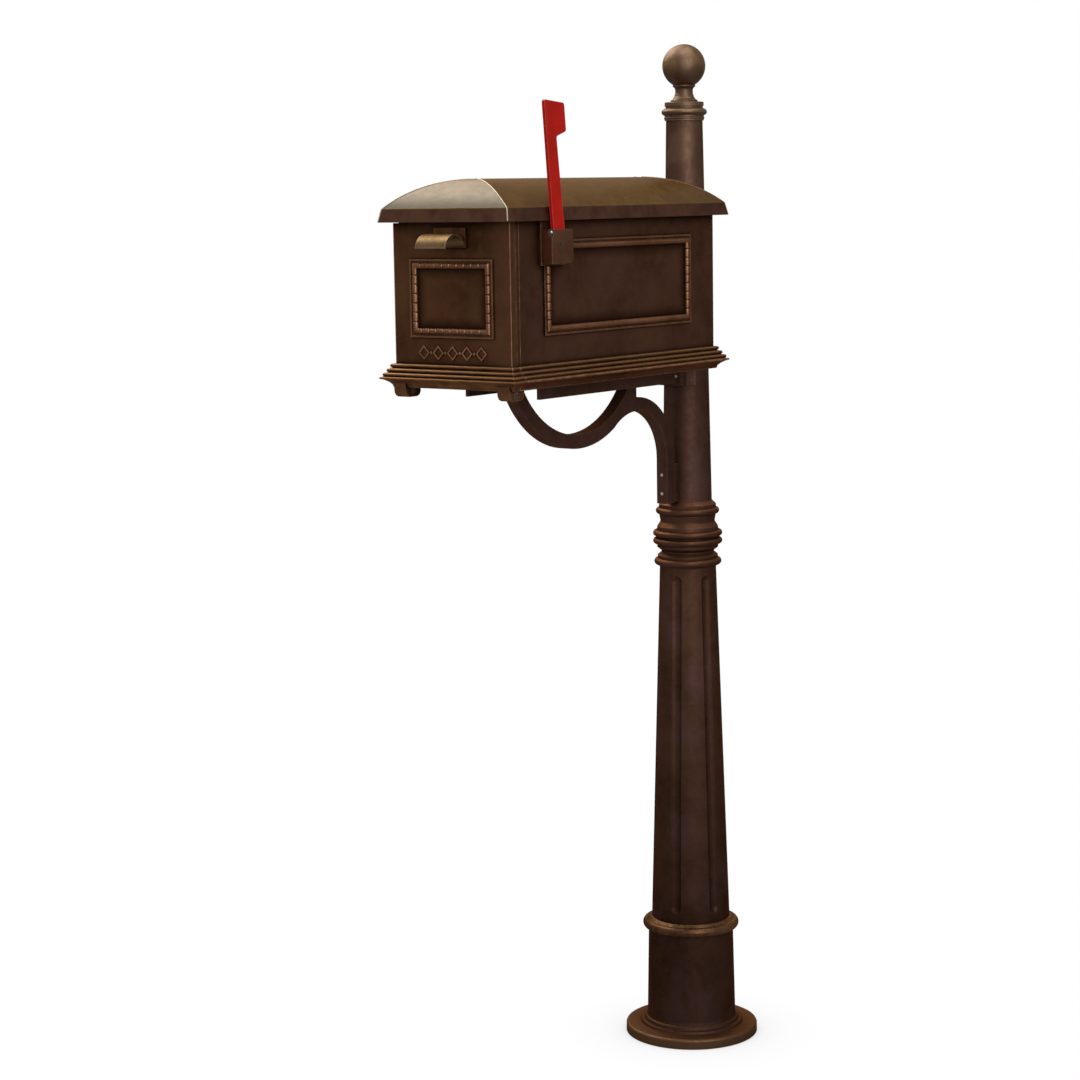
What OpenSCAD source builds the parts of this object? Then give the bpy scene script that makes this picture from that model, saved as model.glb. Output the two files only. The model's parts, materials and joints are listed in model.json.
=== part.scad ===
// Curbside mailbox carried by a scroll bracket on a fluted cast post.
// Origin: centre of the flange's underside, on the post's axis. +Z is up, the door faces -Y
// and the signal flag is on the +X side.

/* [Post] */
// Diameter of the round base flange
flange_d = 216; // [190:1:260]
// Height of the pedestal's top above the ground
pedestal_top = 175; // [150:1:180]
// Radius of the fluted shaft at its foot
flute_shaft_r0 = 64.5; // [60:0.5:66]
// Radius of the fluted shaft at its top
flute_shaft_r1 = 45.5; // [43:0.5:48]
// Height of the joint between the fluted shaft and the capital
capital_z = 776; // [760:1:790]
// Radius of the plain upper shaft at its foot
upper_r0 = 39.5; // [38:0.5:41]
// Radius of the plain upper shaft at its top
upper_r1 = 29; // [28:0.5:31]
// Height of the joint between the upper shaft and the cap
cap_z = 1489; // [1480:1:1500]
// Radius of the ball
ball_r = 34; // [30:0.5:38]
// Number of flutes around the shaft
flute_count = 6; // [6, 8]

/* [Box] */
// Outside width of the box body
box_w = 210; // [200:1:220]
// Length of the box body from the door seam to the back face
box_len = 501; // [480:1:520]
// Height of the walls between the moulding and the eave
wall_h = 201.5; // [190:0.5:215]
// Thickness of the cast walls
wall_t = 4; // [3.5:0.5:4.5]
// Height of the top edge of the base moulding above the ground
sill_z = 1140; // [1140:1:1150]
// Distance from the post's axis to the back face of the box
post_gap = 81; // [80:1:90]

/* [Roof] */
// Overhang of the eave beyond the side walls
eave_side = 12.5; // [11:0.5:13]
// Overhang of the eave in front of the door
eave_front = 20; // [18:0.5:24]
// Overhang of the eave behind the back wall
eave_back = 25.5; // [20:0.5:28]
// Height of the leaning fascia
fascia_h = 18.7; // [16:0.1:22]
// Rise of the curved roof above the fascia
roof_rise = 41.3; // [36:0.1:46]

/* [Door and flag] */
// Thickness of the door casting
door_t = 12; // [11:0.5:13]
// Height of the hinge axis above the ground
hinge_z = 1100; // [1099:0.5:1101]
// Height of the flag's top above its pivot when the arm is upright
flag_h = 201.5; // [190:0.5:210]
// Forward lean of the raised flag in degrees
flag_lean = 5.5; // [0:0.5:6]

/* [Hidden] */
$fn = 96;

// Box planes
half_w = box_w / 2;
y_back = -post_gap;
y_seam = y_back - box_len;
y_door = y_seam - door_t;
eave_z = sill_z + wall_h;
seam_gap = 0.4;          // half of the gap between the door and the body
inner_w = half_w - wall_t;
frame_t = 7.6;           // depth of the door frame behind the seam
y_walls = y_seam + seam_gap + frame_t;

// Base moulding and floor
skirt_h = 34;
skirt_z = sill_z - skirt_h;
floor_top = sill_z - 17;
floor_t = 4;
floor_bot = floor_top - floor_t;

// Hinge
hinge_y = y_seam - 2;
hinge_r = 4;
running_fit = 0.06;
ear_in = half_w - 22;
lug_in = half_w - 17.4;
lug_out = half_w - 7.6;

// Channel under the box
channel_half = 68;
channel_front = -482;
channel_back = -134;
web_t = 5;
web_z = skirt_z - web_t;
flange_z = web_z - 16;
box_bolt_x = 48;
box_bolt_y = [-430, -200];
bracket_bolt_y0 = -459;
bracket_bolt_y1 = -166;

// Post anchoring
anchor_pcd = 104;
anchor_hole_r = 5.5;
plate_r = 66;
plate_t = 8;
rod_r = 6;
flute_turn = -79;

// Post joints with the bracket
pad_half = 22;
pad_face = -50;
saddle_face = -45;
pad_z = 1073;
pad_screw_x = 14;
pad_screw_z = 1088;
saddle_screw_r = 1.8;
saddle_head_r = 2.4;
leg_half = 10;
leg_back = -50.5;
leg_z = 886;
leg_screw_z = [902, 932];

// Scroll bracket curves: the U, the quarter arch and the ogee between them
u_y = -305.5;
u_z = 1181;
u_r = 185;
bar = 21.5;
arch_y = -155;
arch_z = 958;
arch_r = leg_back - arch_y;
leg_front = leg_back - bar;
ogee_r = 95;

// Screws that hold the cleats and the roof
cleat_screw_z = [1180, 1300];
cleat_screw_x = inner_w - 9;
cleat_screw_y = y_back - 14;
blind_skin = 2;          // metal left over the screws' blind holes
roof_front_x = 80;
roof_front_y = (y_seam + y_walls) / 2;
roof_back_x = 92;
roof_back_y = y_back - 13;
catch_x = 17;
catch_y = y_walls + 7;

// Flag housing
plate_x = half_w + 4;
arm_x = half_w + 13;
arm_t = 5;
slot_x0 = arm_x - 1.4;
slot_x1 = arm_x + arm_t + 0.4;
housing_x = slot_x1 + 1.6;
housing_y0 = y_door + 71;
housing_y1 = housing_y0 + 50;
housing_z1 = eave_z - 12.5;
housing_z0 = housing_z1 - 48;
pivot_y = housing_y0 + 22;
pivot_z = housing_z1 - 20;
pivot_r = 3;
pivot_tip_r = 1.6;
foot_r = 13.1;           // rounded foot of the flag's arm
slot_y0 = pivot_y - 15.5;
slot_z0 = pivot_z - foot_r - 1.2;
flag_bolt_y = [housing_y0 + 5, housing_y1 - 14];
flag_bolt_z = housing_z0 + 7.5;

// Relief frames: an outer ridge, a lower band inside it and a bead on the band
side_y0 = y_door + 76;
side_y1 = y_back - 65;
side_z0 = sill_z + 40;
side_z1 = eave_z - 27.5;
door_frame_x = 75;
door_frame_z0 = sill_z + 38.5;
door_frame_z1 = eave_z - 52;
ridge_w = 2.6;
ridge_h = 2.4;
band_w = 13.6;
band_h = 1.2;
bead_r = 4;
bead_in = 9.2;

// Handle
handle_z = eave_z - 36;
handle_half = 28.6;
handle_screw_x = 22.5;
handle_screw_z = handle_z + 22;

// ---------------------------------------------------------------- helpers

// Extrudes an outline drawn in X and Z along Y
module along_y(y0, y1) {
    translate([0, y1, 0]) rotate([90, 0, 0]) linear_extrude(y1 - y0) children();
}

// Extrudes an outline drawn in Y and Z along X
module along_x(x0, x1) {
    translate([x0, 0, 0]) rotate([90, 0, 90]) linear_extrude(x1 - x0) children();
}

// A box between two opposite corners
module block(a, b) {
    translate(a) cube(b - a);
}

// A cylinder along X, Y or Z between two places on that axis
module rod_x(x0, x1, y, z, r) {
    translate([x0, y, z]) rotate([0, 90, 0]) cylinder(r = r, h = x1 - x0);
}
module rod_y(y0, y1, x, z, r) {
    translate([x, y1, z]) rotate([90, 0, 0]) cylinder(r = r, h = y1 - y0);
}
module rod_z(z0, z1, x, y, r) {
    translate([x, y, z0]) cylinder(r = r, h = z1 - z0);
}

module both_sides() {
    children();
    mirror([1, 0, 0]) children();
}

// Radius of the upper shaft's outer surface at a height
function upper_r(z) = upper_r0 + (upper_r1 - upper_r0) * (z - 883) / (cap_z - 883);

// Radius of the fluted shaft's outer surface at a height
function lower_r(z) =
    flute_shaft_r0 + (flute_shaft_r1 - flute_shaft_r0) * (z - pedestal_top) / (capital_z - pedestal_top);

// The upper shaft as a solid cone, used to cut the saddles to fit it
module shaft_cone(z0, z1) {
    translate([0, 0, z0]) cylinder(r1 = upper_r(z0), r2 = upper_r(z1), h = z1 - z0);
}

// ---------------------------------------------------------------- post

module anchor_holes(z0, z1) {
    for (i = [0:3])
        rotate([0, 0, 45 + 90 * i]) rod_z(z0, z1, anchor_pcd / 2, 0, anchor_hole_r);
}

module anchor_plate() {
    color("dimgray") difference() {
        cylinder(r = plate_r, h = plate_t);
        anchor_holes(-1, plate_t + 1);
        rod_z(-1, plate_t + 1, 0, 0, rod_r);
    }
}

module base_outline() {
    flange_r = flange_d / 2;
    difference() {
        union() {
            polygon([
                [0, 0], [flange_r, 0], [flange_r, 12.5], [flange_r - 1, 14.6], [flange_r - 3.2, 15.8],
                [84, 17], [82.5, 20.5], [77.6, 21.4], [76, 26], [73.2, 27.4], [72.4, 32],
                [69.4, pedestal_top], [0, pedestal_top]
            ]);
        }
        square([plate_r + 0.2, plate_t]);
        translate([0, plate_t + 10]) square([63, pedestal_top - plate_t - 20]);
    }
}

module base_casting() {
    color("saddlebrown") difference() {
        union() {
            rotate_extrude() base_outline();
            translate([0, 0, pedestal_top]) cylinder(r = 50, h = 12);
        }
        rod_z(-1, pedestal_top + 20, 0, 0, rod_r + 1);
        anchor_holes(plate_t - 1, plate_t + 11);
        rod_z(pedestal_top - 11, pedestal_top + 20, 0, 0, 40);
    }
}

module base_ring() {
    color("peru") difference() {
        rotate_extrude() {
            translate([70.6, pedestal_top + 9]) circle(r = 8);
            polygon([
                [55, pedestal_top], [69.4, pedestal_top], [71, pedestal_top + 4], [74, pedestal_top + 14.6],
                [66, pedestal_top + 20.5], [55, pedestal_top + 23]
            ]);
        }
        translate([0, 0, pedestal_top - 1])
            cylinder(r1 = lower_r(pedestal_top - 1), r2 = lower_r(pedestal_top + 30), h = 31);
    }
}

// One flute: a round-ended groove that leans with the shaft's taper and is deeper at its foot
module flute() {
    z0 = 222;
    z1 = 757;
    groove_r = 11;
    foot_deep = 5.2;
    top_deep = 4.2;
    fall = lower_r(z0) - foot_deep - lower_r(z1) + top_deep;
    lean = atan(fall / (z1 - z0));
    translate([lower_r(z0) + groove_r - foot_deep, 0, z0]) rotate([0, -lean, 0]) {
        cylinder(r = groove_r, h = (z1 - z0) / cos(lean));
        sphere(r = groove_r);
        translate([0, 0, (z1 - z0) / cos(lean)]) sphere(r = groove_r);
    }
}

module fluted_shaft() {
    h = capital_z - pedestal_top;
    t = 9;
    color("saddlebrown") difference() {
        translate([0, 0, pedestal_top]) cylinder(r1 = flute_shaft_r0, r2 = flute_shaft_r1, h = h);
        translate([0, 0, pedestal_top])
            cylinder(r1 = flute_shaft_r0 - t, r2 = flute_shaft_r1 - t, h = h);
        for (i = [0:flute_count - 1])
            rotate([0, 0, flute_turn + 360 / flute_count * i]) flute();
    }
}

module capital_outline() {
    polygon([
        [36, 776], [45.6, 776], [46, 780], [47.5, 786], [48.6, 793], [48.6, 796.5], [42.5, 801],
        [42.5, 804], [49.2, 809], [49.2, 814], [50, 819.4], [50, 832], [49.5, 838], [49, 843],
        [44, 850.5], [44, 853], [45.5, 861], [45.5, 864], [46, 874], [46, 879], [39.5, 885],
        [33, 885], [33, 895], [26, 895], [26, 750], [36, 750]
    ]);
    translate([48.4, 786]) circle(r = 5.8);
    translate([51, 819.4]) circle(r = 4.9);
    translate([51, 832]) circle(r = 4.9);
    translate([45.8, 868.3]) circle(r = 5.3);
}

module capital() {
    color("sienna") rotate_extrude() capital_outline();
}

module upper_shaft() {
    t = 6;
    color("saddlebrown") difference() {
        translate([0, 0, 885]) cylinder(r1 = upper_r(885), r2 = upper_r1, h = cap_z - 885);
        translate([0, 0, 885]) cylinder(r1 = upper_r(885) - t, r2 = upper_r1 - t, h = cap_z - 885);
        for (z = leg_screw_z)
            rod_y(-50, -25, 0, z, saddle_screw_r);
        for (x = [-pad_screw_x, pad_screw_x])
            rod_y(-50, -20, x, pad_screw_z, saddle_screw_r);
    }
}

module post_cap() {
    color("peru") difference() {
        rotate_extrude() {
            polygon([
                [0, cap_z - 15], [22, cap_z - 15], [22, cap_z], [31.2, cap_z], [31.2, cap_z + 8],
                [33, cap_z + 8.4], [33, cap_z + 18], [29.6, cap_z + 19.5], [29.6, cap_z + 22.5],
                [30.9, cap_z + 22.5], [30.9, cap_z + 28], [29.9, cap_z + 29], [0, cap_z + 29]
            ]);
            translate([31.2, cap_z + 13.2]) circle(r = 4.8);
            translate([29.6, cap_z + 4]) circle(r = 2.4);
        }
        rod_z(cap_z - 20, cap_z + 30, 0, 0, rod_r + 0.3);
        rod_z(cap_z + 17, cap_z + 30, 0, 0, 14);
    }
}

module tie_rod() {
    color("silver") rod_z(0.5, cap_z + 46, 0, 0, rod_r);
}

module rod_washer() {
    color("silver") difference() {
        rod_z(cap_z + 17, cap_z + 19.5, 0, 0, 13);
        rod_z(cap_z + 16, cap_z + 21, 0, 0, rod_r);
    }
}

module rod_nut() {
    color("silver") difference() {
        translate([0, 0, cap_z + 19.5]) cylinder(r = 11, h = 9, $fn = 6);
        rod_z(cap_z + 18, cap_z + 30, 0, 0, rod_r);
    }
}

module ball_finial() {
    foot = cap_z + 29;
    ball_z = 1608 - ball_r;
    color("peru") difference() {
        union() {
            rotate_extrude() difference() {
                union() {
                    polygon([
                        [0, foot], [21, foot], [21, foot + 2.4], [17.8, foot + 5], [15.4, foot + 9],
                        [14, foot + 14], [14, foot + 19], [14.8, foot + 21.5], [16.4, foot + 23],
                        [16.4, foot + 28], [0, foot + 28]
                    ]);
                    translate([16, foot + 25]) circle(r = 2);
                    translate([20, foot + 1.6]) circle(r = 1.6);
                }
                translate([-1, foot]) square([1, 40]);
            }
            translate([0, 0, ball_z]) sphere(r = ball_r);
        }
        rod_z(foot - 1, cap_z + 46, 0, 0, rod_r);
    }
}

// ---------------------------------------------------------------- bracket

// Side view of the scroll: a U, a stub up to the channel and a quarter arch down the post
module scroll_outline() {
    difference() {
        union() {
            intersection() {
                translate([u_y, u_z]) circle(r = u_r);
                translate([u_y - u_r, u_z - u_r]) square([arch_y - u_y + u_r, web_z - u_z + u_r]);
            }
            polygon([
                [-215, 1035], [-206, 1010], [arch_y, 1010], [arch_y, web_z], [-165, web_z]
            ]);
        }
        translate([u_y, u_z]) circle(r = u_r - bar);
        translate([arch_y, arch_z + arch_r - bar - ogee_r]) circle(r = ogee_r);
    }
    intersection() {
        difference() {
            translate([arch_y, arch_z]) circle(r = arch_r);
            translate([arch_y, arch_z]) circle(r = arch_r - bar);
        }
        translate([arch_y, arch_z]) square(arch_r + 1);
    }
    translate([leg_front, leg_z]) square([bar, arch_z - leg_z]);
    translate([-478, web_z - 9]) square([36, 9]);
    translate([-188, web_z - 9]) square([arch_y + 188, 9]);
}

module scroll_bracket() {
    color("saddlebrown") difference() {
        along_x(-leg_half, leg_half) scroll_outline();
        for (z = leg_screw_z)
            rod_y(leg_front - 5, leg_back + 5, 0, z, saddle_screw_r);
        rod_z(web_z - 22, web_z + 1, 0, bracket_bolt_y0, 4);
        rod_z(web_z - 22, web_z + 1, 0, bracket_bolt_y1, 3);
    }
}

module lower_saddle() {
    color("sienna") difference() {
        block([-leg_half, leg_back, 888], [leg_half, -20, 948]);
        shaft_cone(886, 950);
        for (z = leg_screw_z)
            rod_y(-60, -20, 0, z, saddle_screw_r);
    }
}

module lower_saddle_screws() {
    color("silver") for (z = leg_screw_z) {
        rod_y(leg_front - 0.8, leg_front, 0, z, saddle_head_r);
        rod_y(leg_front, -31, 0, z, saddle_screw_r);
    }
}

module upper_saddle() {
    color("sienna") difference() {
        union() {
            block([-pad_half, saddle_face, pad_z], [pad_half, -15, skirt_z - web_t]);
            intersection() {
                translate([0, 0, pad_z]) cylinder(r = 40.4, h = skirt_z - web_t - pad_z);
                block([-50, -60, pad_z - 1], [50, -23, skirt_z]);
            }
        }
        shaft_cone(pad_z - 2, skirt_z + 2);
        for (x = [-pad_screw_x, pad_screw_x])
            rod_y(-60, -15, x, pad_screw_z, saddle_screw_r);
    }
}

module upper_saddle_screws() {
    color("silver") for (x = [-pad_screw_x, pad_screw_x]) {
        rod_y(pad_face - 0.8, pad_face, x, pad_screw_z, saddle_head_r);
        rod_y(pad_face, -29, x, pad_screw_z, saddle_screw_r);
    }
}

module mounting_channel() {
    color("saddlebrown") difference() {
        union() {
            block([-channel_half, channel_front, web_z], [channel_half, channel_back, skirt_z]);
            both_sides()
                block([channel_half - 5, channel_front, flange_z], [channel_half, channel_back, skirt_z]);
            block([-pad_half, channel_back, web_z], [pad_half, saddle_face, skirt_z]);
            block([-pad_half, pad_face, pad_z], [pad_half, saddle_face, skirt_z]);
        }
        rod_z(web_z - 1, skirt_z + 1, 0, bracket_bolt_y0, 4);
        rod_z(web_z - 1, skirt_z + 1, 0, bracket_bolt_y1, 3);
        both_sides() for (y = box_bolt_y)
            rod_z(web_z - 1, skirt_z + 1, box_bolt_x, y, 3);
        for (x = [-pad_screw_x, pad_screw_x])
            rod_y(-60, -40, x, pad_screw_z, saddle_screw_r);
    }
}

module bracket_bolts() {
    color("silver") {
        rod_z(web_z - 18, skirt_z, 0, bracket_bolt_y0, 4);
        translate([0, bracket_bolt_y0, skirt_z]) cylinder(r = 7.5, h = 5, $fn = 6);
        rod_z(web_z - 18, skirt_z, 0, bracket_bolt_y1, 3);
        translate([0, bracket_bolt_y1, skirt_z]) cylinder(r = 5.8, h = 4, $fn = 6);
    }
}

module box_bolts() {
    color("silver") both_sides() for (y = box_bolt_y) {
        rod_z(floor_top, floor_top + 3, box_bolt_x, y, 6);
        rod_z(web_z - 8, floor_top, box_bolt_x, y, 3);
    }
}

module box_nuts() {
    color("silver") both_sides() for (y = box_bolt_y)
        difference() {
            translate([box_bolt_x, y, web_z - 5]) cylinder(r = 5.8, h = 5, $fn = 6);
            rod_z(web_z - 6, web_z + 1, box_bolt_x, y, 3);
        }
}

// ---------------------------------------------------------------- box

// Outline of the base moulding, outward of the wall face, with Z from the sill down
module moulding_edge() {
    polygon([
        [-8, 0], [3.2, 0], [4.4, -6.2], [7.2, -7], [8.6, -12.4], [11.6, -13.2], [12.6, -18],
        [16.4, -19.2], [16.8, -21.6], [12.4, -23.6], [7.4, -26.8], [4.4, -30], [3.2, -skirt_h],
        [-8, -skirt_h]
    ]);
    translate([3.4, -2.9]) circle(r = 2.8);
    translate([7.4, -9.6]) circle(r = 2.8);
    translate([11.7, -15.8]) circle(r = 2.8);
    translate([16.4, -20.6]) circle(r = 1.6);
}

// The mitred moulding that runs around the door and the body, as one solid
module moulding_solid() {
    intersection() {
        along_y(y_door - 30, y_back + 30) union() {
            translate([-half_w, skirt_z]) square([box_w, skirt_h]);
            translate([half_w, sill_z]) moulding_edge();
            mirror([1, 0]) translate([half_w, sill_z]) moulding_edge();
        }
        along_x(-half_w - 30, half_w + 30) union() {
            translate([y_door, skirt_z]) square([y_back - y_door, skirt_h]);
            translate([y_back, sill_z]) moulding_edge();
            mirror([1, 0]) translate([-y_door, sill_z]) moulding_edge();
        }
    }
}

// A lug under the floor that carries one hinge screw inside the door's ear
module hinge_lug() {
    along_x(lug_in, lug_out) {
        translate([hinge_y, hinge_z]) circle(r = 7);
        polygon([
            [hinge_y - 5, hinge_z + 4], [hinge_y + 7, floor_bot + 1], [hinge_y + 24, floor_bot + 1],
            [hinge_y + 6, hinge_z - 3.6]
        ]);
    }
}

module base_tray() {
    color("saddlebrown") difference() {
        union() {
            difference() {
                moulding_solid();
                block([-200, y_door - 40, skirt_z - 1], [200, y_seam + seam_gap, sill_z + 1]);
                block([-inner_w, y_seam - 1, floor_top], [inner_w, y_back - wall_t, sill_z + 1]);
                block([-inner_w, y_seam - 1, skirt_z - 1], [inner_w, y_back - wall_t, floor_bot]);
                both_sides()
                    block([ear_in - 2, y_seam - 1, skirt_z - 1], [half_w + 0.8, y_seam + 37, floor_bot]);
            }
            both_sides() for (y = box_bolt_y)
                rod_z(skirt_z, floor_bot + 1, box_bolt_x, y, 9);
            both_sides() hinge_lug();
        }
        both_sides() rod_x(ear_in - 1, half_w, hinge_y, hinge_z, hinge_r);
        both_sides() for (y = box_bolt_y)
            rod_z(skirt_z - 1, floor_top + 1, box_bolt_x, y, 3);
    }
}

module front_frame() {
    color("saddlebrown") difference() {
        union() {
            block([-half_w, y_seam + seam_gap, sill_z], [half_w, y_walls, eave_z]);
            block([-inner_w, y_seam + seam_gap, floor_top], [inner_w, y_walls, sill_z]);
        }
        block([-half_w + 9, y_seam - 1, floor_top + 8], [half_w - 9, y_walls + 1, eave_z - 7.5]);
        both_sides() rod_z(eave_z - 8, eave_z + 1, roof_front_x, roof_front_y, 2);
    }
}

// A flat raised border in Y and Z
module border(y0, z0, y1, z1, w) {
    difference() {
        translate([y0, z0]) square([y1 - y0, z1 - z0]);
        translate([y0 + w, z0 + w]) square([y1 - y0 - 2 * w, z1 - z0 - 2 * w]);
    }
}

// Wall with its picture-frame relief, on the +X side
module side_wall() {
    difference() {
        block([inner_w, y_walls, sill_z], [half_w, y_back, eave_z]);
        for (z = cleat_screw_z)
            rod_x(inner_w - 1, half_w - blind_skin, cleat_screw_y, z, 2);
    }
    along_x(half_w - 0.5, half_w + ridge_h) border(side_y0, side_z0, side_y1, side_z1, ridge_w);
    along_x(half_w - 0.5, half_w + band_h)
        border(side_y0 + 2, side_z0 + 2, side_y1 - 2, side_z1 - 2, band_w - 2);
}

// The corner of the relief that the flag bracket covers
module flag_pad_cut() {
    block([half_w, housing_y0 - 5, housing_z0 - 3], [half_w + 20, housing_y1 + 3, eave_z + 1]);
}

module left_wall() {
    color("saddlebrown") mirror([1, 0, 0]) side_wall();
}

module right_wall() {
    color("saddlebrown") difference() {
        side_wall();
        flag_pad_cut();
        for (y = flag_bolt_y)
            rod_x(inner_w - 1, half_w + 1, y, flag_bolt_z, 2.5);
    }
}

module back_wall() {
    color("saddlebrown") difference() {
        block([-inner_w, y_back - wall_t, sill_z], [inner_w, y_back, eave_z]);
        both_sides() for (z = cleat_screw_z)
            rod_y(y_back - wall_t - 1, y_back - blind_skin, cleat_screw_x, z, 2);
    }
}

// Half-round beading with rounded corners, in Y and Z on the face x
module bead_loop(x, y0, z0, y1, z1) {
    intersection() {
        union() {
            for (z = [z0, z1])
                rod_y(y0, y1, x, z, bead_r);
            for (y = [y0, y1])
                rod_z(z0, z1, x, y, bead_r);
            for (y = [y0, y1], z = [z0, z1])
                translate([x, y, z]) sphere(r = bead_r);
        }
        block([x, y0 - 10, z0 - 10], [x + 10, y1 + 10, z1 + 10]);
    }
}

module side_bead() {
    bead_loop(half_w + band_h, side_y0 + bead_in, side_z0 + bead_in, side_y1 - bead_in, side_z1 - bead_in);
}

module left_bead() {
    color("peru") mirror([1, 0, 0]) side_bead();
}

module right_bead() {
    color("peru") difference() {
        side_bead();
        flag_pad_cut();
    }
}

// Cross-section of the roof through X and Z, shrunk by the casting's thickness t
module roof_section_x(t) {
    half = half_w + eave_side - t;
    lean = fascia_h * 0.24;
    top = eave_z + fascia_h;
    span = half_w + eave_side - lean;
    r = (span * span + roof_rise * roof_rise) / (2 * roof_rise);
    polygon([[-half, eave_z], [half, eave_z], [half - lean, top], [-half + lean, top]]);
    intersection() {
        translate([0, top + roof_rise - r]) circle(r = r - t);
        translate([-half + lean, top - 0.01]) square([2 * (half - lean), roof_rise + 1]);
    }
}

// Cross-section of the roof through Y and Z: a quarter curve at each end of a level ridge
module roof_section_y(t) {
    front = y_door - eave_front + t;
    back = y_back + eave_back - t;
    lean = fascia_h * 0.24;
    top = eave_z + fascia_h;
    run = 72;
    r = (run * run + roof_rise * roof_rise) / (2 * roof_rise);
    y0 = y_door - eave_front + lean + run;
    y1 = y_back + eave_back - lean - run;
    polygon([[front, eave_z], [back, eave_z], [back - lean, top], [front + lean, top]]);
    intersection() {
        union() {
            for (y = [y0, y1])
                translate([y, top + roof_rise - r]) circle(r = r - t);
            translate([y0, top - 20]) square([y1 - y0, roof_rise + 20 - t]);
        }
        translate([front + lean, top - 0.01]) square([back - front - 2 * lean, roof_rise + 1]);
    }
}

module roof_solid(t) {
    intersection() {
        along_y(y_door - 40, y_back + 40) roof_section_x(t);
        along_x(-half_w - 40, half_w + 40) roof_section_y(t);
    }
}

module roof() {
    soffit_t = 4;
    color("darkgoldenrod") difference() {
        roof_solid(0);
        difference() {
            roof_solid(wall_t);
            block([-200, y_door - 60, eave_z - 1], [200, y_back + 60, eave_z + soffit_t]);
        }
        block([-88, y_walls + 18, eave_z - 1], [88, y_back - 20, eave_z + soffit_t + 1]);
        both_sides() {
            rod_z(eave_z - 1, eave_z + 3, roof_front_x, roof_front_y, 2);
            rod_z(eave_z - 1, eave_z + 3, roof_back_x, roof_back_y, 2);
            rod_z(eave_z - 1, eave_z + 3, catch_x, catch_y, 1.5);
        }
    }
}

// Angle pieces that tie the back wall to the side walls and carry the roof
module rear_cleats() {
    color("dimgray") both_sides() difference() {
        union() {
            block([inner_w - 3, y_back - 21, floor_top], [inner_w, y_back - wall_t, eave_z]);
            block([inner_w - 17, y_back - wall_t - 3, floor_top], [inner_w, y_back - wall_t, eave_z]);
            block([inner_w - 17, y_back - 21, eave_z - 4], [inner_w, y_back - wall_t, eave_z]);
        }
        for (z = cleat_screw_z) {
            rod_x(inner_w - 5, inner_w + 1, cleat_screw_y, z, 2);
            rod_y(y_back - 10, y_back, cleat_screw_x, z, 2);
        }
        rod_z(eave_z - 5, eave_z + 1, roof_back_x, roof_back_y, 2);
    }
}

module cleat_screws() {
    color("silver") both_sides() for (z = cleat_screw_z) {
        rod_x(inner_w - 3, half_w - blind_skin, cleat_screw_y, z, 2);
        rod_x(inner_w - 5, inner_w - 3, cleat_screw_y, z, 3.4);
        rod_y(y_back - wall_t - 3, y_back - blind_skin, cleat_screw_x, z, 2);
        rod_y(y_back - wall_t - 5, y_back - wall_t - 3, cleat_screw_x, z, 3.4);
    }
}

module roof_screws() {
    color("silver") both_sides() {
        rod_z(eave_z - 7.5, eave_z + 3, roof_front_x, roof_front_y, 2);
        rod_z(eave_z - 9.5, eave_z - 7.5, roof_front_x, roof_front_y, 3.4);
        rod_z(eave_z - 4, eave_z + 3, roof_back_x, roof_back_y, 2);
        rod_z(eave_z - 6, eave_z - 4, roof_back_x, roof_back_y, 3.4);
    }
}

// ---------------------------------------------------------------- flag

module flag_backplate() {
    color("saddlebrown") difference() {
        block([half_w, housing_y0 - 4.5, housing_z0 - 2.4], [plate_x, housing_y1 + 2.4, eave_z - 0.2]);
        for (y = flag_bolt_y)
            rod_x(half_w - 1, plate_x + 1, y, flag_bolt_z, 2.5);
    }
}

// Stands on the housing's upper front corner, facing outward at 45 degrees
module stop_axis() {
    translate([housing_x, housing_y0, housing_z1 - 5]) rotate([0, 90, -45]) children();
}

// The housing is a clevis: the arm swings in a slot that is open above and behind
module flag_housing() {
    chamfer = 8;
    color("saddlebrown") difference() {
        along_x(plate_x, housing_x) polygon([
            [housing_y0, housing_z0], [housing_y1 - chamfer, housing_z0],
            [housing_y1 - chamfer * 0.4, housing_z0 + chamfer * 0.3],
            [housing_y1, housing_z0 + chamfer], [housing_y1, housing_z1 - 2],
            [housing_y1 - 2, housing_z1], [housing_y0, housing_z1]
        ]);
        block([slot_x0, slot_y0, slot_z0], [slot_x1, housing_y1 + 1, housing_z1 + 1]);
        rod_x(plate_x - 1, slot_x1 - 1, pivot_y, pivot_z, pivot_r);
        rod_x(slot_x1 - 1, housing_x + 1, pivot_y, pivot_z, pivot_tip_r);
        stop_axis() translate([0, 0, -4]) cylinder(r = 5.2, h = 12);
        for (y = flag_bolt_y)
            rod_x(plate_x - 1, plate_x + 7, y, flag_bolt_z, 2.5);
    }
}

module flag_stop_screw() {
    color("silver") stop_axis() translate([0, 0, -4]) difference() {
        cylinder(r = 3.4, h = 2.2);
        translate([-5, -0.5, 1.2]) cube([10, 1, 2]);
    }
}

module flag_pivot_screw() {
    color("silver") {
        rod_x(plate_x, slot_x1, pivot_y, pivot_z, pivot_r);
        rod_x(slot_x1 - 1, housing_x + 0.4, pivot_y, pivot_z, pivot_tip_r);
    }
}

module flag_wave_washer() {
    color("silver") difference() {
        rod_x(slot_x0, slot_x0 + 1, pivot_y, pivot_z, 8);
        rod_x(slot_x0 - 1, slot_x0 + 2, pivot_y, pivot_z, pivot_r);
    }
}

module flag_bolts() {
    color("silver") for (y = flag_bolt_y) {
        rod_x(inner_w, plate_x + 7, y, flag_bolt_z, 2.5);
        rod_x(inner_w - 2.6, inner_w, y, flag_bolt_z, 5);
    }
}

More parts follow.
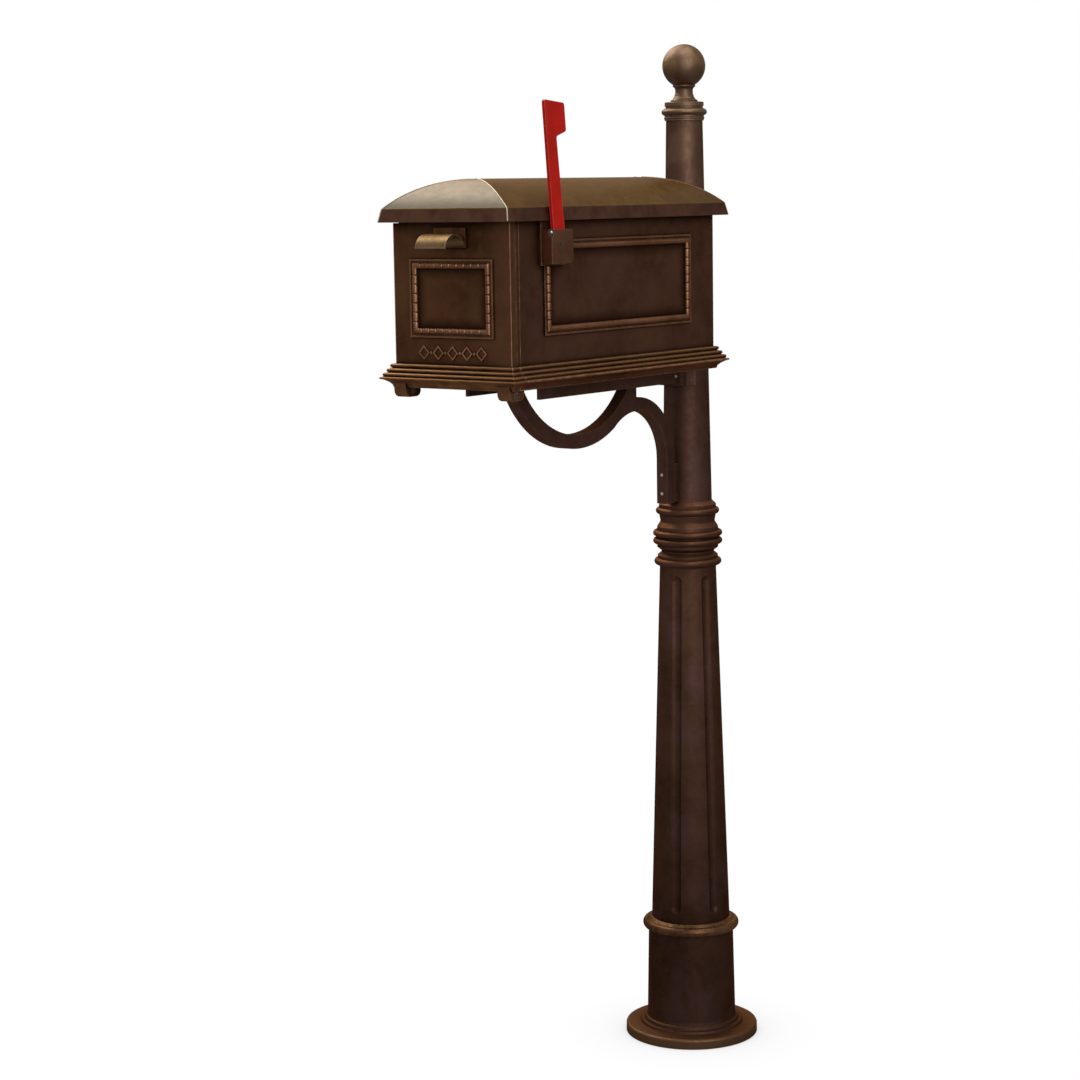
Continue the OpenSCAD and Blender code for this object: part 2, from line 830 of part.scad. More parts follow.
// Side view of the flag with its arm upright and its pivot at the origin
module flag_outline() {
    front = -12.9;
    head_back = 32.7;
    translate([0.2, 0]) circle(r = foot_r);
    polygon([
        [front, 0], [foot_r + 0.2, 0], [9.3, 146], [10.3, 149], [31, 153.6], [head_back, 156],
        [head_back, 191], [31, 193.6], [front + 2.4, flag_h], [front, flag_h - 2]
    ]);
}

// Arm and head in one plate, with a foot that turns on the pivot screw
module flag() {
    color("red") difference() {
        translate([0, pivot_y, pivot_z]) rotate([flag_lean, 0, 0])
            along_x(arm_x, arm_x + arm_t) flag_outline();
        rod_x(arm_x - 1, arm_x + arm_t + 1, pivot_y, pivot_z, pivot_r + running_fit);
    }
}

// ---------------------------------------------------------------- door

// One hinge ear, hollow so that the tray's lug sits inside it, on the +X side
module hinge_ear() {
    difference() {
        along_x(ear_in, half_w) polygon([
            [y_door - 8, hinge_z + 13], [y_door - 6.4, hinge_z + 6], [y_door - 5.6, hinge_z - 1],
            [y_door - 3, hinge_z - 5.4], [y_door + 2, hinge_z - 8], [hinge_y + 9, hinge_z - 8],
            [hinge_y + 14.5, hinge_z - 5.6], [hinge_y + 17, hinge_z - 1], [hinge_y + 17, hinge_z + 4],
            [hinge_y + 4, hinge_z + 4], [y_seam - seam_gap, hinge_z + 6],
            [y_seam - seam_gap, hinge_z + 13]
        ]);
        block([lug_in - 0.6, y_door + 2, hinge_z - 20], [lug_out + 0.6, y_seam + 40, hinge_z + 20]);
    }
}

module door_panel() {
    skin = 4;
    top = eave_z - 1;
    color("saddlebrown") difference() {
        union() {
            difference() {
                union() {
                    block([-half_w, y_door, sill_z - 0.5], [half_w, y_seam - seam_gap, top]);
                    intersection() {
                        moulding_solid();
                        block([-200, y_door - 40, skirt_z], [200, y_seam - seam_gap, sill_z]);
                    }
                }
                block([-half_w + 6, y_door + skin, skirt_z + 8], [half_w - 6, y_seam + 1, top - skin]);
                block([-half_w + 6, y_door + 1.6, skirt_z - 1], [half_w - 6, y_seam + 1, skirt_z + 9]);
            }
            both_sides() hinge_ear();
            block([-18, y_door + 2, top - 19], [18, y_seam - 1.5, top - 2]);
            along_y(y_door - ridge_h, y_door + 0.5)
                border(-door_frame_x, door_frame_z0, door_frame_x, door_frame_z1, ridge_w);
            along_y(y_door - band_h, y_door + 0.5)
                border(-door_frame_x + 2, door_frame_z0 + 2, door_frame_x - 2, door_frame_z1 - 2, band_w - 2);
        }
        both_sides() {
            rod_x(ear_in - 1, half_w + 1, hinge_y, hinge_z, hinge_r + running_fit);
            rod_x(half_w - 3.4, half_w + 1, hinge_y, hinge_z, 6);
            rod_y(y_door - 1, y_door + skin + 1, handle_screw_x, handle_screw_z, 2);
            rod_y(y_seam - 7, y_seam, 12, top - 10.5, 1.5);
        }
    }
}

module door_handle() {
    reach = 47;
    t = 3;
    hood_r = 23.9;
    arch_mid = y_door - reach / 2;
    color("goldenrod") difference() {
        union() {
            block([-handle_half, y_door - t, handle_z], [handle_half, y_door, handle_z + 28]);
            along_x(-27, 27) intersection() {
                difference() {
                    translate([arch_mid, handle_z - 4]) circle(r = hood_r);
                    translate([arch_mid, handle_z - 4]) circle(r = hood_r - t);
                }
                translate([y_door - reach - 1, handle_z]) square([reach, 40]);
            }
        }
        both_sides() rod_y(y_door - 2, y_door + 1, handle_screw_x, handle_screw_z, 2);
    }
}

module handle_screws() {
    color("silver") both_sides() {
        rod_y(y_door - 2, y_door + 4, handle_screw_x, handle_screw_z, 2);
        rod_y(y_door + 4, y_door + 6.4, handle_screw_x, handle_screw_z, 3.6);
    }
}

module door_bead() {
    x1 = door_frame_x - bead_in;
    color("peru") rotate([0, 0, -90])
        bead_loop(band_h - y_door, -x1, door_frame_z0 + bead_in, x1, door_frame_z1 - bead_in);
}

// A chain of open lozenges with studs between them
module door_ornament() {
    step = 26;
    z = sill_z + 17;
    color("peru") along_y(y_door - 1.2, y_door) {
        for (i = [-2:2])
            translate([i * step, z]) difference() {
                polygon([[-10, 0], [0, -10.5], [10, 0], [0, 10.5]]);
                polygon([[-7, 0], [0, -7.4], [7, 0], [0, 7.4]]);
            }
        for (i = [-1.5:1:1.5])
            translate([i * step, z]) circle(r = 2.2);
    }
}

module strike_plate() {
    top = eave_z - 1;
    color("silver") difference() {
        block([-16, y_seam - 1.5, top - 17], [16, y_seam - 0.3, top - 4]);
        both_sides() rod_y(y_seam - 3, y_seam, 12, top - 10.5, 1.5);
    }
}

module strike_screws() {
    top = eave_z - 1;
    color("silver") both_sides() rod_y(y_seam - 6, y_seam - 0.3, 12, top - 10.5, 1.5);
}

// ---------------------------------------------------------------- catch and hinge hardware

module magnet_space() {
    block([-14, y_seam + 0.5, eave_z - 16.5], [14, y_walls + 12, eave_z - 8.5]);
}

module catch_housing() {
    color("dimgray") difference() {
        block([-21, y_walls + 0.5, eave_z - 18.5], [21, y_walls + 14, eave_z]);
        magnet_space();
        both_sides() rod_z(eave_z - 20, eave_z + 1, catch_x, catch_y, 1.5);
    }
}

module catch_magnet() {
    color("dimgray") magnet_space();
}

module catch_screws() {
    color("silver") both_sides() {
        rod_z(eave_z - 18.5, eave_z + 3, catch_x, catch_y, 1.5);
        rod_z(eave_z - 20.5, eave_z - 18.5, catch_x, catch_y, 2.8);
    }
}

module hinge_screws() {
    color("silver") both_sides() difference() {
        union() {
            rod_x(ear_in + 0.4, half_w - 3.1, hinge_y, hinge_z, hinge_r);
            rod_x(half_w - 3.1, half_w - 0.2, hinge_y, hinge_z, 5.5);
        }
        block([half_w - 1.2, hinge_y - 6, hinge_z - 0.6], [half_w, hinge_y + 6, hinge_z + 0.6]);
    }
}

// ---------------------------------------------------------------- nodes

anchor_plate();
base_casting();
base_ring();
fluted_shaft();
capital();
upper_shaft();
post_cap();
tie_rod();
rod_washer();
rod_nut();
ball_finial();
scroll_bracket();
lower_saddle();
lower_saddle_screws();
upper_saddle();
upper_saddle_screws();
mounting_channel();
bracket_bolts();
box_bolts();
box_nuts();
base_tray();
front_frame();
left_wall();
right_wall();
back_wall();
roof();
rear_cleats();
cleat_screws();
roof_screws();
left_bead();
right_bead();
flag_backplate();
flag_housing();
flag_pivot_screw();
flag_stop_screw();
flag_wave_washer();
flag_bolts();
catch_housing();
catch_magnet();
catch_screws();
hinge_screws();
door_panel();
door_bead();
door_ornament();
door_handle();
handle_screws();
strike_plate();
strike_screws();
flag();
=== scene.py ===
import json
import math

import bmesh
import bpy
from mathutils import Matrix, Vector


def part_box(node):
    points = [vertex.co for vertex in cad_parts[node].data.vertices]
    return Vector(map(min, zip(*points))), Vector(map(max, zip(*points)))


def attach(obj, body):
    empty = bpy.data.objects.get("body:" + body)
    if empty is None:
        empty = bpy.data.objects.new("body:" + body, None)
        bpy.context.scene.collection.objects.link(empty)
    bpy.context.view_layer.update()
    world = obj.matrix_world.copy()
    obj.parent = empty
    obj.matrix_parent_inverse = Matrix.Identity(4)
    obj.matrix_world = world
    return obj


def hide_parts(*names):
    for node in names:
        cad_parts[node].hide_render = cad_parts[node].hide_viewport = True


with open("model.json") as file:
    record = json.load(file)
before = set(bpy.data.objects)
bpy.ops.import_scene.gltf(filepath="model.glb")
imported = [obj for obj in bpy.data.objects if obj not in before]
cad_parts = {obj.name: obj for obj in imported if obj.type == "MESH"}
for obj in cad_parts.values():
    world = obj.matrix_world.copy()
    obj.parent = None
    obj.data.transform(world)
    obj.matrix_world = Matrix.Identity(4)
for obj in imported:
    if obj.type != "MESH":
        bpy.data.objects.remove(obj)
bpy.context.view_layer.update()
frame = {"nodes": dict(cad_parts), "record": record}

ROOT, DOOR, FLAG = "post_and_box", "door", "signal_flag"
NODES = frame["nodes"]


# ---------------------------------------------------------------- camera

CAMERA_PLACE = (2.26526, -3.39689, 1.38522)
CAMERA_AZIMUTH, CAMERA_ELEVATION, CAMERA_ROLL = 37.0532, 7.8538, -0.9288
SENSOR_MM, LENS_MM = 36, 84.77


def aim_camera():
    """A camera on the object's front right, a little above it, with a slight roll."""
    angles = (CAMERA_AZIMUTH, CAMERA_ELEVATION, CAMERA_ROLL)
    azimuth, elevation, roll = (math.radians(angle) for angle in angles)
    back = Vector((
        math.sin(azimuth) * math.cos(elevation),
        -math.cos(azimuth) * math.cos(elevation),
        math.sin(elevation),
    ))
    right = Vector((math.cos(azimuth), math.sin(azimuth), 0))
    up = back.cross(right)
    rolled_right = math.cos(roll) * right + math.sin(roll) * up
    rolled_up = -math.sin(roll) * right + math.cos(roll) * up
    data = bpy.data.cameras.new("camera")
    data.sensor_width, data.lens = SENSOR_MM, LENS_MM
    camera = bpy.data.objects.new("camera", data)
    bpy.context.scene.collection.objects.link(camera)
    turn = Matrix((rolled_right, rolled_up, back)).transposed().to_4x4()
    camera.matrix_world = Matrix.Translation(CAMERA_PLACE) @ turn
    bpy.context.scene.camera = camera


# ---------------------------------------------------------------- materials

class Tree:
    """Short calls for building a material's nodes."""

    def __init__(self, name):
        self.material = bpy.data.materials.new(name)
        self.material.use_nodes = True
        self.tree = self.material.node_tree
        self.shader = self.tree.nodes["Principled BSDF"]

    def node(self, kind, **values):
        made = self.tree.nodes.new(kind)
        for key, value in values.items():
            setattr(made, key, value)
        return made

    def link(self, source, target):
        self.tree.links.new(source, target)

    def value(self, socket, value):
        if isinstance(value, bpy.types.NodeSocket):
            self.link(value, socket)
        else:
            socket.default_value = value

    def place(self, stretch=(1, 1, 1)):
        coords = self.node("ShaderNodeTexCoord")
        mapping = self.node("ShaderNodeMapping")
        mapping.inputs["Scale"].default_value = stretch
        self.link(coords.outputs["Object"], mapping.inputs["Vector"])
        return mapping.outputs["Vector"]

    def noise(self, scale, detail=3, roughness=0.55, stretch=(1, 1, 1)):
        made = self.node("ShaderNodeTexNoise")
        self.link(self.place(stretch), made.inputs["Vector"])
        made.inputs["Scale"].default_value = scale
        made.inputs["Detail"].default_value = detail
        made.inputs["Roughness"].default_value = roughness
        return made.outputs["Fac"]

    def steps(self, source, low, high, out_low=0.0, out_high=1.0):
        """A smooth step from out_low to out_high as the source goes from low to high."""
        made = self.node("ShaderNodeMapRange", interpolation_type="SMOOTHSTEP")
        self.link(source, made.inputs["Value"])
        for key, value in (("From Min", low), ("From Max", high), ("To Min", out_low), ("To Max", out_high)):
            made.inputs[key].default_value = value
        return made.outputs["Result"]

    def along(self, axis):
        """Place along the object's X, Y or Z, in metres."""
        split = self.node("ShaderNodeSeparateXYZ")
        self.link(self.place(), split.inputs[0])
        return split.outputs[axis]

    def facing_up(self, low, high, out_low=0.0, out_high=1.0):
        """A smooth step on how far the surface faces up, from -1 to 1."""
        coords, split = self.node("ShaderNodeTexCoord"), self.node("ShaderNodeSeparateXYZ")
        self.link(coords.outputs["Normal"], split.inputs[0])
        return self.steps(split.outputs[2], low, high, out_low, out_high)

    def grey_times(self, colour, factor):
        shade = self.node("ShaderNodeCombineColor")
        for i in range(3):
            self.link(factor, shade.inputs[i])
        return self.mix(1.0, colour, shade.outputs[0], "MULTIPLY")

    def math(self, operation, a, b=0.0, clamp=True):
        made = self.node("ShaderNodeMath", operation=operation, use_clamp=clamp)
        self.value(made.inputs[0], a)
        self.value(made.inputs[1], b)
        return made.outputs[0]

    def mix(self, factor, a, b, blend="MIX"):
        made = self.node("ShaderNodeMix", data_type="RGBA", blend_type=blend)
        self.value(made.inputs[0], factor)
        for socket, colour in ((made.inputs[6], a), (made.inputs[7], b)):
            if isinstance(colour, bpy.types.NodeSocket):
                self.link(colour, socket)
            else:
                socket.default_value = (*colour, 1)
        return made.outputs[2]

    def occlusion(self, distance, inside=False, samples=6):
        """1 where nothing is near, falling towards 0 in a corner; inside finds outward edges."""
        made = self.node("ShaderNodeAmbientOcclusion", inside=inside, only_local=inside, samples=samples)
        made.inputs["Distance"].default_value = distance
        return made.outputs["AO"]

    def bump(self, heights, round_edges=0.0006):
        """Bump from a list of (height, distance in metres), on softly rounded edges."""
        normal = None
        if round_edges:
            bevel = self.node("ShaderNodeBevel", samples=4)
            bevel.inputs["Radius"].default_value = round_edges
            normal = bevel.outputs["Normal"]
        for height, distance in heights:
            made = self.node("ShaderNodeBump")
            made.inputs["Strength"].default_value = 1.0
            made.inputs["Distance"].default_value = distance
            self.link(height, made.inputs["Height"])
            if normal is not None:
                self.link(normal, made.inputs["Normal"])
            normal = made.outputs["Normal"]
        self.link(normal, self.shader.inputs["Normal"])

    def finish(self, metallic, specular=0.5, coat=0.0, coat_roughness=0.3, grazing=(1, 1, 1)):
        self.shader.inputs["Specular Tint"].default_value = (*grazing, 1)
        self.shader.inputs["Metallic"].default_value = metallic
        self.shader.inputs["Specular IOR Level"].default_value = specular
        self.shader.inputs["Coat Weight"].default_value = coat
        self.shader.inputs["Coat Roughness"].default_value = coat_roughness
        self.shader.inputs["IOR"].default_value = 1.5
        return self.material


def bronze(name, dark, light, rubbed, wear=1.0, rough=(0.36, 0.52), tint=None, top_sheen=None, painted_foot_shade=False,
           edge_reach=0.0034, strokes=0.12, wave=0.0005):
    """Patinated bronze: dark mottled ground, painted shade in the corners, and copper rubbed through at the
    edges; it can also paint a golden sheen on faces turned up and shade towards the foot.
    """
    t = Tree(name)
    clouds = t.steps(t.noise(7, 4, 0.6), 0.36, 0.64)
    mottle = t.steps(t.noise(46, 5, 0.65), 0.35, 0.68)
    speckle = t.noise(1500, 2, 0.5)
    ground = t.mix(t.math("MULTIPLY", clouds, 0.75), dark, light)
    ground = t.mix(t.math("MULTIPLY", mottle, 0.4), ground, light)
    if tint:
        patches = t.steps(t.noise(16, 3, 0.6, (1, 1, 0.6)), 0.48, 0.72, 0, 0.7)
        ground = t.mix(patches, ground, tint)
    if strokes:
        brushed = t.noise(60, 3, 0.6, (0.16, 0.16, 1.6))
        ground = t.mix(t.steps(brushed, 0.55, 0.75, 0, strokes), ground, rubbed)
    ground = t.mix(t.steps(speckle, 0.62, 0.74, 0, 0.18), ground, rubbed)
    # Painted sheen: faces turned up are mixed towards a lighter golden colour, as light from above falls on
    # them.
    if top_sheen:
        ground = t.mix(t.facing_up(0.15, 0.75, 0, 0.85), ground, top_sheen)
    if wear:
        edge = t.steps(t.occlusion(edge_reach, inside=True), 0.85, 0.45)
        patchy = t.steps(t.noise(85, 3, 0.6), 0.38, 0.66, 0.4, 1.0)
        edge = t.math("MULTIPLY", t.math("MULTIPLY", edge, patchy), wear)
        ground = t.mix(edge, ground, rubbed)
    # Painted shade: the colour is darkened by occlusion in corners and hollows, where shade falls.
    ground = t.grey_times(ground, t.steps(t.occlusion(0.009), 0.3, 0.95, 0.38, 1.0))
    # Painted shade: darker towards the bottom, where less light reaches the post.
    if painted_foot_shade:
        ground = t.grey_times(ground, t.steps(t.along(2), 0.1, 0.95, 0.55, 1.0))
    t.link(ground, t.shader.inputs["Base Color"])
    t.link(t.steps(t.noise(120, 4, 0.6), 0.3, 0.7, *rough), t.shader.inputs["Roughness"])
    t.bump([(t.noise(14, 2), wave), (t.noise(420, 3, 0.6), 0.00007), (speckle, 0.00002)])
    return t


def recolour(t, change):
    """The base colour passed through one more step."""
    socket = t.shader.inputs["Base Color"]
    t.link(change(socket.links[0].from_socket), socket)
    return t


def red_paint(name):
    t = Tree(name)
    tone = t.mix(t.steps(t.noise(24, 3), 0.35, 0.65), (0.44, 0.009, 0.004), (0.53, 0.012, 0.006))
    # Paint worn at the edges, made light pink, which also paints the highlight along the flag's edges.
    wear_and_highlight = t.steps(t.occlusion(0.0016, inside=True), 0.8, 0.45, 0, 0.55)
    t.link(t.mix(wear_and_highlight, tone, (0.85, 0.22, 0.19)), t.shader.inputs["Base Color"])
    t.link(t.steps(t.noise(90, 4), 0.3, 0.7, 0.3, 0.42), t.shader.inputs["Roughness"])
    t.bump([(t.noise(110, 2), 0.00005)])
    return t.finish(0.0, 0.1, coat=0.03, coat_roughness=0.15)


def steel(name, colour, rough, metallic=1.0):
    t = Tree(name)
    tone = t.mix(t.steps(t.noise(160, 4, 0.6), 0.3, 0.7), [c * 0.78 for c in colour], colour)
    t.link(tone, t.shader.inputs["Base Color"])
    t.link(t.steps(t.noise(300, 3), 0.3, 0.7, rough - 0.08, rough + 0.08), t.shader.inputs["Roughness"])
    t.bump([(t.noise(900, 2), 0.00002)], 0.0003)
    return t.finish(metallic)


# Shapes of the CAD's that no box gives: the beads' radius, the handle's plate, and the roof's lean,
# fascia, rise and the run of its end slopes
BEAD_R = 0.004
HANDLE_PLATE = 0.004
ROOF_LEAN, ROOF_FASCIA, ROOF_RISE, ROOF_RUN = 0.004488, 0.0187, 0.0413, 0.072

# The middle colour is a painted golden sheen for faces turned up; the others are the bronze's tint and its
# rubbed copper.
BRONZE_TINT, BRONZE_TOP_SHEEN, RUBBED = (0.165, 0.080, 0.060), (0.42, 0.245, 0.10), (0.72, 0.36, 0.22)
METAL = 0.9
GRAZING = (0.58, 0.40, 0.31)


def satin(tree, coat=0.0):
    return tree.finish(METAL, 0.2, coat, 0.4, grazing=GRAZING)


def inset(t, axis, box):
    """How far a point lies inside a bead's inner edge in a wall's plane; below 0 outside it."""
    distances = []
    for along in (axis, 2):
        place = t.along(along)
        low, high = box[0][along] + 2 * BEAD_R, box[1][along] - 2 * BEAD_R
        distances.append(t.math("SUBTRACT", place, low, clamp=False))
        distances.append(t.math("SUBTRACT", high, place, clamp=False))
    nearest = distances[0]
    for distance in distances[1:]:
        nearest = t.math("MINIMUM", nearest, distance, clamp=False)
    return nearest


def wall_bronze(name, axis, face, bead, dark, light, tint):
    """The relief's bands rubbed to copper, with painted shade just inside the beads and in the corners beside
    them.
    """
    t = bronze(name, dark, light, RUBBED, 1.0, tint=tint, top_sheen=BRONZE_TOP_SHEEN, edge_reach=0.0016, strokes=0)
    depth = t.math("ABSOLUTE", t.along(axis), clamp=False)
    inside = inset(t, 1 - axis, bead)
    # Painted shade: darkened just inside each bead, for the shade the raised frame casts onto the panel.
    painted_bead_shade = t.math("MULTIPLY", t.steps(inside, 0.0, 0.020, 0.72, 0.0), t.steps(inside, -0.0008, 0.0))
    painted_bead_shade = t.math("MULTIPLY", painted_bead_shade, t.steps(depth, face - 0.0012, face - 0.0004))
    recolour(t, lambda ground: t.mix(painted_bead_shade, ground, (0.022, 0.010, 0.006)))
    raised = t.steps(depth, face + 0.0003, face + 0.0010, 0, 0.6)
    patchy = t.steps(t.noise(60, 4, 0.6), 0.32, 0.62, 0.35, 1.0)
    recolour(t, lambda ground: t.mix(t.math("MULTIPLY", raised, patchy), ground, (0.40, 0.195, 0.096)))
    # Painted shade: darkened by occlusion in the corners beside the relief.
    corners = t.steps(t.occlusion(0.03, samples=12), 0.6, 0.97, 0.36, 1.0)
    return recolour(t, lambda ground: t.grey_times(ground, corners))


def post_bronze(name, top_sheen):
    """Pinker above the capital, and golden where the flange's rim is rubbed."""
    t = bronze(name, (0.080, 0.036, 0.021), (0.160, 0.078, 0.052), (0.34, 0.17, 0.10), 0.5, (0.48, 0.62),
               tint=(0.17, 0.083, 0.082), top_sheen=top_sheen, painted_foot_shade=True, strokes=0.05)
    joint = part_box("capital")[1][2]
    pink = t.steps(t.along(2), joint - 0.025, joint + 0.025, 0, 0.28)
    recolour(t, lambda ground: t.mix(pink, ground, (0.135, 0.074, 0.072)))
    golden = t.math("MULTIPLY", t.steps(t.along(2), 1.25, 1.4), t.steps(t.noise(22, 3), 0.4, 0.6, 0.2, 0.8))
    recolour(t, lambda ground: t.mix(golden, ground, (0.200, 0.122, 0.078)))
    rim = t.steps(t.along(2), 0.018, 0.014, 0, 0.45)
    return recolour(t, lambda ground: t.mix(rim, ground, (0.27, 0.15, 0.075)))


BOX = bronze("dark_bronze", (0.100, 0.044, 0.023), (0.190, 0.084, 0.049), RUBBED, 1.0,
             tint=BRONZE_TINT, top_sheen=BRONZE_TOP_SHEEN, strokes=0.04)
# Half the box's width, and how far the door's face is in front of the post's axis
HALF_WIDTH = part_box("front_frame")[1][0]
DOOR_FACE = -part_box("door_handle")[1][1]
WALLS = wall_bronze("wall_bronze", 0, HALF_WIDTH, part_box("left_bead"),
                    (0.104, 0.049, 0.029), (0.192, 0.093, 0.060), BRONZE_TINT)
DOOR_PANEL = wall_bronze("door_bronze", 1, DOOR_FACE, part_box("door_bead"),
                         (0.104, 0.045, 0.021), (0.200, 0.090, 0.044), (0.19, 0.098, 0.040))
# Painted light: the door made lighter towards its right edge, where more light falls on it.
recolour(DOOR_PANEL, lambda ground: DOOR_PANEL.mix(
    DOOR_PANEL.steps(DOOR_PANEL.along(0), 0.05, HALF_WIDTH, 0, 0.28), ground, (0.32, 0.155, 0.085)))
HOUSING = bronze("housing_bronze", (0.17, 0.080, 0.046), (0.29, 0.140, 0.088), (0.60, 0.36, 0.24), 0.8,
                 edge_reach=0.0012)
# The post's colour is a painted golden sheen on its faces turned up.
POST, FLUTED = post_bronze("post_bronze", (0.210, 0.095, 0.046)), post_bronze("fluted_bronze", None)
# Painted shade: the flutes darkened by occlusion in their hollows.
recolour(FLUTED, lambda ground: FLUTED.grey_times(
    ground, FLUTED.steps(FLUTED.occlusion(0.02), 0.45, 0.95, 0.45, 1.0)))
RING = bronze("ring_bronze", (0.080, 0.036, 0.018), (0.225, 0.118, 0.060), (0.42, 0.24, 0.13), 0.7)
COPPER = bronze("rubbed_copper", (0.20, 0.088, 0.044), (0.42, 0.205, 0.110), (0.74, 0.42, 0.26), 0.6,
                tint=(0.34, 0.16, 0.105))
BALL = bronze("ball_bronze", (0.15, 0.084, 0.045), (0.29, 0.180, 0.095), (0.42, 0.26, 0.16), 0.5,
              (0.44, 0.58), tint=(0.110, 0.046, 0.042), strokes=0)
FINIAL_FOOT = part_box("ball_finial")[0][2]
GOLDEN = BALL.math("MULTIPLY", BALL.steps(BALL.noise(24, 3), 0.47, 0.62, 0, 0.7),
                   BALL.steps(BALL.along(2), FINIAL_FOOT + 0.002, FINIAL_FOOT + 0.022))
recolour(BALL, lambda ground: BALL.mix(GOLDEN, ground, (0.31, 0.185, 0.058)))
# Painted shade: faces turned down made darker, with a purple tone.
recolour(BALL, lambda ground: BALL.mix(BALL.facing_up(0.1, -0.7, 0, 0.65), ground, (0.105, 0.044, 0.036)))


def roof_bronze():
    """Golden on the roof's curve, with a pale painted sheen on the slopes at its ends, and dark on its fascia
    with painted shade from occlusion.
    """
    t = bronze("roof_bronze", (0.140, 0.072, 0.019), (0.220, 0.122, 0.036), (0.42, 0.28, 0.15), 0.3,
               (0.42, 0.54), strokes=0, wave=0.00012)
    socket = t.shader.inputs["Base Color"]
    golden = socket.links[0].from_socket
    coords, split = t.node("ShaderNodeTexCoord"), t.node("ShaderNodeSeparateXYZ")
    t.link(coords.outputs["Normal"], split.inputs[0])
    # Painted sheen: the slopes at the roof's ends take a pale, neutral colour for the light they reflect.
    end_sheen_mask = t.steps(t.math("ABSOLUTE", split.outputs[1]), 0.03, 0.10)
    painted_end_sheen = t.mix(t.steps(t.noise(30, 4, 0.6), 0.35, 0.65), (0.190, 0.161, 0.117), (0.208, 0.178, 0.130))
    golden = t.mix(end_sheen_mask, golden, painted_end_sheen)
    fascia = t.mix(t.steps(t.noise(30, 4), 0.35, 0.65), (0.092, 0.036, 0.020), (0.150, 0.064, 0.037))
    # Painted shade: the fascia darkened by occlusion where other parts are near.
    fascia = t.grey_times(fascia, t.steps(t.occlusion(0.012), 0.3, 0.95, 0.5, 1.0))
    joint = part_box("roof")[0][2] + ROOF_FASCIA
    t.link(t.mix(t.steps(t.along(2), joint - 0.0017, joint + 0.0003), fascia, golden), socket)
    return t


def handle_bronze():
    """A golden hood on a dark backplate."""
    t = bronze("handle_bronze", (0.17, 0.104, 0.044), (0.32, 0.210, 0.115), (0.50, 0.37, 0.25), 0.4)
    socket = t.shader.inputs["Base Color"]
    golden = socket.links[0].from_socket
    plate = t.mix(t.steps(t.noise(40, 4), 0.35, 0.65), (0.11, 0.048, 0.024), (0.18, 0.080, 0.045))
    front = -DOOR_FACE - HANDLE_PLATE
    t.link(t.mix(t.steps(t.along(1), front - 0.0005, front + 0.0005), golden, plate), socket)
    return t


MATERIALS = {
    "dark_bronze": satin(BOX),
    "rubbed_copper": satin(COPPER),
    "flag_red": red_paint("flag_red"),
    "bright_steel": steel("bright_steel", (0.62, 0.60, 0.57), 0.3),
    "zinc_steel": steel("zinc_steel", (0.42, 0.42, 0.41), 0.42),
    "black_plastic": steel("black_plastic", (0.02, 0.02, 0.02), 0.6, 0.0),
    "magnet": steel("magnet", (0.05, 0.05, 0.055), 0.5, 0.3),
}
POST_NODES = (
    "base_casting", "capital", "upper_shaft",
    "mounting_channel", "scroll_bracket", "lower_saddle", "upper_saddle",
)
SPECIAL = {name: satin(POST) for name in POST_NODES}
SPECIAL["fluted_shaft"] = satin(FLUTED)
SPECIAL["base_ring"] = satin(RING)
for wall in ("left_wall", "right_wall", "back_wall", "front_frame"):
    SPECIAL[wall] = satin(WALLS)
SPECIAL["door_panel"] = SPECIAL["door_ornament"] = satin(DOOR_PANEL)
SPECIAL["flag_housing"] = SPECIAL["flag_backplate"] = satin(HOUSING)
SPECIAL["post_cap"] = SPECIAL["ball_finial"] = satin(BALL, 0.5)
SPECIAL["roof"] = satin(roof_bronze(), 0.3)
SPECIAL["door_handle"] = satin(handle_bronze())
NICKEL = steel("nickel_screw", (0.92, 0.91, 0.89), 0.5)
AGED_STEEL = steel("aged_steel", (0.30, 0.21, 0.15), 0.4)
SPECIAL["lower_saddle_screws"] = SPECIAL["upper_saddle_screws"] = NICKEL
SPECIAL["hinge_screws"] = SPECIAL["flag_stop_screw"] = SPECIAL["flag_pivot_screw"] = AGED_STEEL


def dress_nodes():
    """Every CAD node takes the material of its slot, or its own finish of it."""
    slots = {s["node"]: s["material_slot"] for s in frame["record"]["subparts"]}
    for name, node in NODES.items():
        material = SPECIAL.get(name, MATERIALS[slots[name]])
        node.data.materials.clear()
        node.data.materials.append(material)


# ---------------------------------------------------------------- pieces

SHARP_ANGLE = math.radians(38)
TUBE_SIDES, BEAD_SIDES, CIRCLE_SIDES = 8, 9, 32


def piece(name, mesh_maker, material, body, slot, *stands_for):
    """A new mesh piece that rides on a body and may stand for CAD nodes."""
    mesh = bpy.data.meshes.new(name)
    bm = bmesh.new()
    mesh_maker(bm)
    bmesh.ops.recalc_face_normals(bm, faces=bm.faces)
    bm.to_mesh(mesh)
    bm.free()
    for polygon in mesh.polygons:
        polygon.use_smooth = True
    mesh.set_sharp_from_angle(angle=SHARP_ANGLE)
    mesh.materials.append(material)
    made = bpy.data.objects.new(name, mesh)
    bpy.context.scene.collection.objects.link(made)
    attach(made, body)
    if stands_for:
        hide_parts(*stands_for)
    return made


BEAD_STEP = 0.0136
NOTCH_DEEP, NOTCH_HALF = 0.0014, 0.0007
NOTCH_MARKS = (-0.0021, -0.0012, -0.0006, 0.0, 0.0006, 0.0012, 0.0021)
BEAD_SINK = 0.0003
MITRE_CLEAR = 0.0045
PLATE_GAP = 0.0006


def bead_radius(place, length):
    """A half-round bead's radius along a run that is cut into equal segments by narrow notches."""
    count = max(1, round(length / BEAD_STEP))
    step = length / count
    away = abs((place / step + 0.5) % 1 - 0.5) * step
    return BEAD_R - NOTCH_DEEP * math.exp(-(away / NOTCH_HALF) ** 2)


